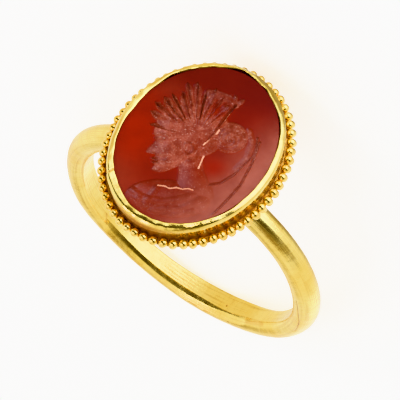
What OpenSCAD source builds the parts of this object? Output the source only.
// Finger ring: a gold hoop and oval bezel with granulated edge, holding an engraved carnelian.
// It lies on its side as it comes to rest: on the foot of the hoop and on the granules under the bezel.
// Ring axes: X across the finger, Y along the finger, Z out through the stone, origin at the hoop's centre.

/* [Finger hoop] */
// Radius of the round finger hole
finger_r = 8.75; // [8:0.05:10]
// Radius of the wire that the hoop is bent from
wire_r = 0.92; // [0.8:0.01:1.1]
// How far the wire's centre line lies outside the finger hole, which sets the width of the flat inside
wire_out = 0.68; // [0.5:0.01:0.75]
// How far the hoop's outside is shifted toward the bezel
hoop_rise = 0.13; // [0:0.01:0.3]

/* [Bezel] */
// Half the width of the stone that shows, across the finger
face_a = 5.0; // [4.2:0.01:5.6]
// Half the length of the stone that shows, along the finger
face_b = 6.22; // [5.4:0.01:7]
// Width of the rim that is pushed over the stone
rim_w = 0.4; // [0.3:0.01:0.7]
// Height of the collet from the base plate to the outer edge of the rim
wall_h = 1.4; // [1:0.05:1.5]
// How much higher the rim is at the stone than at its outer edge
rim_rise = 0.37; // [0.2:0.01:0.5]
// Thickness of the base plate
plate_t = 0.12; // [0.1:0.01:0.2]
// Height of the base plate's top above the finger hole
plate_top = 2.1; // [2.1:0.05:2.6]
// How far the bezel sits off the middle of the hoop, across and along the finger
bezel_shift = [0.17, 0.35]; // [-0.5:0.01:0.5]
// Angle of the bezel on the hoop
bezel_turn = -2; // [-5:0.5:5]
// Half the length and half the width of the saddle between the hoop and the base plate
saddle_size = [3.6, 1.4]; // [1:0.1:4]

/* [Granules] */
// Radius of a granule in the upper row
grain_r = 0.32; // [0.28:0.01:0.33]
// Number of granules in the upper row
upper_n = 61; // [50:1:61]
// Radius of a granule in the lower row
low_grain_r = 0.3; // [0.26:0.01:0.31]
// Number of granules in the lower row
lower_n = 60; // [50:1:60]
// How far outside the rim's outer edge the rows run
row_out = 0.38; // [0.35:0.01:0.6]
// How far the lower row sits off the upper one, across and along the finger
lower_shift = [-0.08, 0.28]; // [-0.4:0.01:0.4]

/* [Stone] */
// Gap between the stone and the gold round it
stone_gap = 0.06; // [0.05:0.01:0.1]
// How far the stone's face domes up from its edge to its middle
dome = 0.12; // [0:0.01:0.3]
// Deepest cut of the engraving
cut_depth = 0.55; // [0.3:0.01:0.6]
// Turn of the bust on the stone, from the finger's direction toward the left
bust_turn = 36.5; // [0:0.5:45]

/* [Hidden] */
$fn = 96;

// Levels above the hoop's centre
plate_z = finger_r + plate_top;
edge_z = plate_z + wall_h;
crest_z = edge_z + rim_rise;

// How deep an upper granule sits in its solder, and how far the lower ones stay under the plate
solder = 0.06;
row_gap = 0.02;

// The rim: how far it reaches over the stone, the slant under that reach, the chamfer at its outer
// corner, and the width and drop of the rounding at its crest
lip = 0.14;
lip_h = 0.43;
rim_chamfer = 0.1;
crest_w = 0.05;
crest_drop = 0.09;

// The base: how far its top plate runs past the granules' middle line, and how far its lower step stays
// back from theirs, how thick that step is and how far it goes up into the plate
plate_lip = 0.04;
step_back = 0.1;
step_t = 0.4;
step_sink = 0.02;

// Half the width of the collet across the finger, outside and inside, and its length over its width
collet_r = face_a + rim_w;
cavity_r = face_a + lip;
stretch = (face_b + rim_w / 2) / (face_a + rim_w / 2);

// The rows of granules: half width, half length and level of each row's oval
row_a = collet_r + row_out;
row_b = face_b + rim_w + row_out;
upper_z = plate_z + grain_r - solder;
lower_z = plate_z - plate_t - row_gap - low_grain_r;

// Points along an oval, and n of them an equal way apart
function oval_point(t, a, b) = [a * cos(t), b * sin(t)];
function arc_table(a, b, step = 2) =
    [for (t = 0, s = 0; t <= 360;
          s = s + norm(oval_point(t + step, a, b) - oval_point(t, a, b)), t = t + step) [s, t]];
function evenly(n, a, b) =
    let (table = arc_table(a, b), whole = table[len(table) - 1][0])
    [for (i = [0 : n - 1]) oval_point(lookup(whole * i / n, table), a, b)];

// A point of the bezel, in the hoop's own axes
function on_hoop(p) =
    [bezel_shift.x + p.x * cos(bezel_turn) - p.y * sin(bezel_turn),
     bezel_shift.y + p.x * sin(bezel_turn) + p.y * cos(bezel_turn)];

// The ring leans until the hoop's foot and the lowest granule touch the ground together
foot_r = finger_r + wire_out - hoop_rise;
lean = max([for (p = evenly(lower_n, row_a, row_b))
    let (y = on_hoop(p + lower_shift).y, z = lower_z + foot_r)
    acos((wire_r - low_grain_r) / norm([y, z])) - atan2(z, y)]);
rest_h = foot_r * sin(lean) + wire_r;

// How far the ring reaches back and forward as it lies, so that it is centred on the origin
function reach(a, b, z) =
    sin(lean) * (bezel_shift.y + norm([a * sin(bezel_turn), b * cos(bezel_turn)])) + cos(lean) * z;
back = foot_r * cos(lean) + wire_r;
front = max(reach(face_a, face_a * stretch, crest_z), reach(collet_r, collet_r * stretch, edge_z));

module at_rest() {
    translate([0, (front - back) / 2, rest_h]) rotate([lean - 90, 0, 180]) children();
}

module on_bezel() {
    translate([bezel_shift.x, bezel_shift.y, 0]) rotate([0, 0, bezel_turn]) children();
}

// Finger hoop: a round wire flattened inside by the finger hole
module hoop_wire() {
    translate([0, 0, hoop_rise]) rotate([90, 0, 0])
        rotate_extrude() translate([finger_r + wire_out, 0]) circle(r = wire_r, $fn = 32);
}

module finger_hole() {
    rotate([90, 0, 0]) cylinder(r = finger_r, h = 4 * wire_r, center = true, $fn = 180);
}

// Wedge of gold and solder between the hoop and the base plate: lens-shaped, and widening to the plate
module saddle() {
    foot = finger_r + wire_out / 2;
    translate([0, 0, foot]) scale([saddle_size.x / saddle_size.y, 1, 1])
        cylinder(r1 = 3 / 4 * wire_r, r2 = saddle_size.y, h = plate_z - plate_t - foot);
}

// One oval step of the base: top_z is its top, and grow is how far it runs past the rows' middle line
module base_step(top_z, thickness, grow) {
    translate([0, 0, top_z - thickness])
        scale([row_a + grow, row_b + grow, 1]) cylinder(r = 1, h = thickness, $fn = 180);
}

// Collet wall with its rim burnished inward over the stone, upright in the plane of the profile
module collet() {
    profile = [
        [cavity_r, plate_z - plate_t / 2],
        [collet_r, plate_z - plate_t / 2],
        [collet_r, edge_z - rim_chamfer],
        [collet_r - rim_chamfer, edge_z],
        [face_a + crest_w, crest_z],
        [face_a, crest_z - crest_drop],
        [cavity_r, crest_z - crest_drop - lip_h]
    ];
    scale([1, stretch, 1]) rotate_extrude($fn = 180) polygon(profile);
}

module granule_row(points, level, r) {
    for (p = points) translate([p.x, p.y, level]) sphere(r = r, $fn = 16);
}

module gold_mount() {
    upper = evenly(upper_n, row_a, row_b);
    lower = [for (p = evenly(lower_n, row_a, row_b)) p + lower_shift];
    color("goldenrod") at_rest() difference() {
        union() {
            hoop_wire();
            saddle();
            on_bezel() {
                base_step(plate_z, plate_t, plate_lip);
                translate(lower_shift) base_step(plate_z - plate_t + step_sink, step_t, -step_back);
                collet();
                granule_row(upper, upper_z, grain_r);
                granule_row(lower, lower_z, low_grain_r);
            }
        }
        finger_hole();
    }
}

// Stone: rings of points from the middle of its face out to the edge, down the bevel and the girdle,
// and in to the middle of its back. The engraving lowers the face.
stone_r = cavity_r - stone_gap;
stone_face_r = face_a - stone_gap;
stone_edge_z = crest_z - crest_drop - stone_gap / 2;
stone_back_z = plate_z + stone_gap;
back_chamfer = 0.1;
face_rings = 22;
sectors = 88;

// Over what part of the way out the engraving fades in from the edge, and how round its hollows are
fade = 1 / 8;
roundness = 0.6;

// Everything that is cut lies in the bust's own axes, u to its right and v up, in millimetres.
// Hollows: u, v, half width, half height, turn, depth over the deepest cut
HOLLOWS = [
    [-0.15, 1.05, 2.35, 2.1, 10, 1],        // skull
    [-1.75, 0.1, 1.25, 2.35, 14, 0.85],     // face
    [-0.6, -2.2, 1.0, 1.7, -6, 0.75],       // neck
    [-1.9, -3.95, 2.6, 1.25, -8, 0.85],     // bust
    [2.19, 0.45, 1.16, 1.16, 0, 0.8]        // knot of hair
];
// Lines: width, depth over the deepest cut, points
LINES = [
    [0.6, 0.35, [[4.0, 0.4], [3.7, -0.9], [2.4, -2.3], [0.3, -3.1]]],    // upper tie of the fillet
    [0.6, 0.35, [[4.1, 0.1], [2.8, -3.1], [0.8, -5.2]]],                 // lower tie of the fillet
    [0.6, 0.4, [[2.5, 2.9], [0.65, 0.3]]]                                // fillet round the head
];
// Locks of hair that fan out over the head
lock_root = [-0.05, 0.75];
lock_n = 12;
lock_w = 0.72;
lock_depth = 0.75;
lock_from = 38;
lock_to = 152;
lock_r = [1.0, 3.5];

function lock_end(i, r) =
    let (t = lock_from + (lock_to - lock_from) * i / (lock_n - 1)) lock_root + r * [cos(t), sin(t)];
function hollow_cut(p, h) =
    let (d = p - [h[0], h[1]],
         a = (d.x * cos(h[4]) + d.y * sin(h[4])) / h[2],
         b = (d.y * cos(h[4]) - d.x * sin(h[4])) / h[3])
    h[5] * pow(max(0, 1 - a * a - b * b), roundness);
function segment_cut(p, a, b, width, depth) =
    let (ab = b - a, t = min(1, max(0, (p - a) * ab / (ab * ab))), q = norm(p - a - t * ab) / (width / 2))
    depth * max(0, 1 - q * q);
function line_cut(p, line) =
    max([for (i = [1 : len(line[2]) - 1]) segment_cut(p, line[2][i - 1], line[2][i], line[0], line[1])]);
function lock_cut(p, i) = segment_cut(p, lock_end(i, lock_r[0]), lock_end(i, lock_r[1]), lock_w, lock_depth);
function cut(p) = cut_depth * max(concat(
    [for (h = HOLLOWS) hollow_cut(p, h)],
    [for (line = LINES) line_cut(p, line)],
    [for (i = [0 : lock_n - 1]) lock_cut(p, i)]));

// A point of the stone's face at a fraction f of the way out, and where it lies on the bust
function face_point(f, t) = [stone_face_r * f * cos(t), stone_face_r * stretch * f * sin(t)];
function bust_axes(p) =
    [p.x * cos(bust_turn) + p.y * sin(bust_turn), p.y * cos(bust_turn) - p.x * sin(bust_turn)];
function face_level(f, t) =
    let (p = bust_axes(face_point(f, t)))
    stone_edge_z + dome * (1 - f * f) - cut(p) * min(1, (1 - f) / fade);
function ring_at(r, z) = [for (j = [0 : sectors - 1])
    let (t = 360 * j / sectors) [r * cos(t), r * stretch * sin(t), z]];

module carnelian() {
    face = [for (i = [1 : face_rings], j = [0 : sectors - 1])
        let (f = i / face_rings, t = 360 * j / sectors, p = face_point(f, t)) [p.x, p.y, face_level(f, t)]];
    points = concat([[0, 0, face_level(0, 0)]], face, ring_at(stone_r, stone_edge_z - lip_h),
        ring_at(stone_r, stone_back_z + back_chamfer), ring_at(stone_r - back_chamfer, stone_back_z),
        [[0, 0, stone_back_z]]);
    rings = face_rings + 3;
    last = len(points) - 1;
    next = function (j) (j + 1) % sectors;
    faces = concat(
        [for (j = [0 : sectors - 1]) [0, 1 + next(j), 1 + j]],
        [for (i = [0 : rings - 2], j = [0 : sectors - 1], half = [0, 1])
            let (a = 1 + i * sectors + j, b = 1 + i * sectors + next(j))
            half == 0 ? [a, b, a + sectors] : [b, b + sectors, a + sectors]],
        [for (j = [0 : sectors - 1]) [last - sectors + j, last - sectors + next(j), last]]);
    color("firebrick") at_rest() on_bezel() polyhedron(points, faces);
}

gold_mount();
carnelian();
